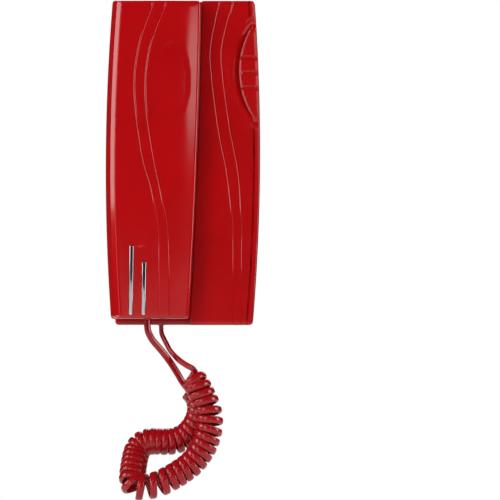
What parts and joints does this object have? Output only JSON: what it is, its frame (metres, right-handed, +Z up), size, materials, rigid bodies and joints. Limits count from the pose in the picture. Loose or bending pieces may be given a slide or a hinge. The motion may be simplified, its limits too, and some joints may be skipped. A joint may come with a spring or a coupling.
{
  "type": "wall telephone",
  "caption": "Slimline wall telephone: flat base with a raised deck, handset lying in its cradle, keypad on the handset's inner face, curly cord.",
  "frame": {"origin": "middle of the base's back face, against the wall", "axes": "+X right seen from the front, +Z up, +Y into the wall, so the phone grows along -Y"},
  "size_m": [0.0946, 0.0463, 0.3069],
  "materials": {
    "red_plastic": "glossy moulded, deep red",
    "dark_plastic": "fine matte texture, dark red",
    "chrome_trim": "mirror plated",
    "key_plastic": "satin moulded, warm white",
    "black_plastic": "matte moulded",
    "capacitor_sleeve": "shrunk sleeve",
    "circuit_board": "solder mask",
    "grey_rubber": "silicone, matte",
    "zinc_steel": "zinc plated",
    "clear_plastic": "clear polycarbonate",
    "red_cord": "satin soft vinyl jacket, deep red"
  },
  "bodies": {
    "base": {"base_cover": "red_plastic", "back_plate": "dark_plastic", "base_screws": "zinc_steel", "base_board": "circuit_board", "ringer_chip": "black_plastic", "rectifier": "black_plastic", "line_capacitor": "capacitor_sleeve", "ringer_sounder": "black_plastic", "sounder_magnet": "zinc_steel", "base_jack": "black_plastic", "line_jack": "black_plastic", "hook_switch": "black_plastic", "hook_spring": "zinc_steel", "slider_switch": "black_plastic", "cord_base_lead": "red_cord", "cord_coil": "red_cord", "cord_handset_lead": "red_cord", "base_plug": "clear_plastic"},
    "handset": {"handset_outer_shell": "red_plastic", "trim_bar_long": "chrome_trim", "trim_bar_short": "chrome_trim", "handset_inner_shell": "red_plastic", "receiver_gasket": "grey_rubber", "receiver": "black_plastic", "microphone_boot": "grey_rubber", "microphone": "zinc_steel", "keypad_membrane": "grey_rubber", "handset_board": "circuit_board", "dialler_chip": "black_plastic", "ballast_weight": "zinc_steel", "handset_screws": "zinc_steel", "handset_jack": "black_plastic", "handset_plug": "clear_plastic"},
    "hook": {"hook_plunger": "key_plastic"},
    "volume_slider": {"volume_slider": "black_plastic"},
    "key_1": {"key_1": "key_plastic"},
    "key_2": {"key_2": "key_plastic"},
    "key_3": {"key_3": "key_plastic"},
    "key_4": {"key_4": "key_plastic"},
    "key_5": {"key_5": "key_plastic"},
    "key_6": {"key_6": "key_plastic"},
    "key_7": {"key_7": "key_plastic"},
    "key_8": {"key_8": "key_plastic"},
    "key_9": {"key_9": "key_plastic"},
    "key_star": {"key_star": "key_plastic"},
    "key_0": {"key_0": "key_plastic"},
    "key_hash": {"key_hash": "key_plastic"},
    "key_flash": {"key_flash": "key_plastic"},
    "key_mute": {"key_mute": "key_plastic"},
    "key_redial": {"key_redial": "key_plastic"}
  },
  "joints": [
    {"name": "handset_lift", "type": "slide", "parent": "base", "child": "handset", "axis": [0, -1, 0], "range_m": [0, 0.04]},
    {"name": "hook_rise", "type": "slide", "parent": "base", "child": "hook", "axis": [0, -1, 0], "range_m": [0, 0.0024], "deforming": ["hook_spring"]},
    {"name": "ringer_volume", "type": "slide", "parent": "base", "child": "volume_slider", "axis": [1, 0, 0], "range_m": [-0.002, 0.002]},
    {"name": "press_key_1", "type": "slide", "parent": "handset", "child": "key_1", "axis": [0, -1, 0], "range_m": [0, 0.0012], "stiffness_N_per_m": 300, "springref_m": -0.0008},
    {"name": "press_key_2", "type": "slide", "parent": "handset", "child": "key_2", "axis": [0, -1, 0], "range_m": [0, 0.0012], "stiffness_N_per_m": 300, "springref_m": -0.0008},
    {"name": "press_key_3", "type": "slide", "parent": "handset", "child": "key_3", "axis": [0, -1, 0], "range_m": [0, 0.0012], "stiffness_N_per_m": 300, "springref_m": -0.0008},
    {"name": "press_key_4", "type": "slide", "parent": "handset", "child": "key_4", "axis": [0, -1, 0], "range_m": [0, 0.0012], "stiffness_N_per_m": 300, "springref_m": -0.0008},
    {"name": "press_key_5", "type": "slide", "parent": "handset", "child": "key_5", "axis": [0, -1, 0], "range_m": [0, 0.0012], "stiffness_N_per_m": 300, "springref_m": -0.0008},
    {"name": "press_key_6", "type": "slide", "parent": "handset", "child": "key_6", "axis": [0, -1, 0], "range_m": [0, 0.0012], "stiffness_N_per_m": 300, "springref_m": -0.0008},
    {"name": "press_key_7", "type": "slide", "parent": "handset", "child": "key_7", "axis": [0, -1, 0], "range_m": [0, 0.0012], "stiffness_N_per_m": 300, "springref_m": -0.0008},
    {"name": "press_key_8", "type": "slide", "parent": "handset", "child": "key_8", "axis": [0, -1, 0], "range_m": [0, 0.0012], "stiffness_N_per_m": 300, "springref_m": -0.0008},
    {"name": "press_key_9", "type": "slide", "parent": "handset", "child": "key_9", "axis": [0, -1, 0], "range_m": [0, 0.0012], "stiffness_N_per_m": 300, "springref_m": -0.0008},
    {"name": "press_key_star", "type": "slide", "parent": "handset", "child": "key_star", "axis": [0, -1, 0], "range_m": [0, 0.0012], "stiffness_N_per_m": 300, "springref_m": -0.0008},
    {"name": "press_key_0", "type": "slide", "parent": "handset", "child": "key_0", "axis": [0, -1, 0], "range_m": [0, 0.0012], "stiffness_N_per_m": 300, "springref_m": -0.0008},
    {"name": "press_key_hash", "type": "slide", "parent": "handset", "child": "key_hash", "axis": [0, -1, 0], "range_m": [0, 0.0012], "stiffness_N_per_m": 300, "springref_m": -0.0008},
    {"name": "press_key_flash", "type": "slide", "parent": "handset", "child": "key_flash", "axis": [0, -1, 0], "range_m": [0, 0.0012], "stiffness_N_per_m": 300, "springref_m": -0.0008},
    {"name": "press_key_mute", "type": "slide", "parent": "handset", "child": "key_mute", "axis": [0, -1, 0], "range_m": [0, 0.0012], "stiffness_N_per_m": 300, "springref_m": -0.0008},
    {"name": "press_key_redial", "type": "slide", "parent": "handset", "child": "key_redial", "axis": [0, -1, 0], "range_m": [0, 0.0012], "stiffness_N_per_m": 300, "springref_m": -0.0008}
  ],
  "couplings": [
    {"joint": "hook_rise", "follows": "handset_lift", "ratio": 0.06}
  ]
}
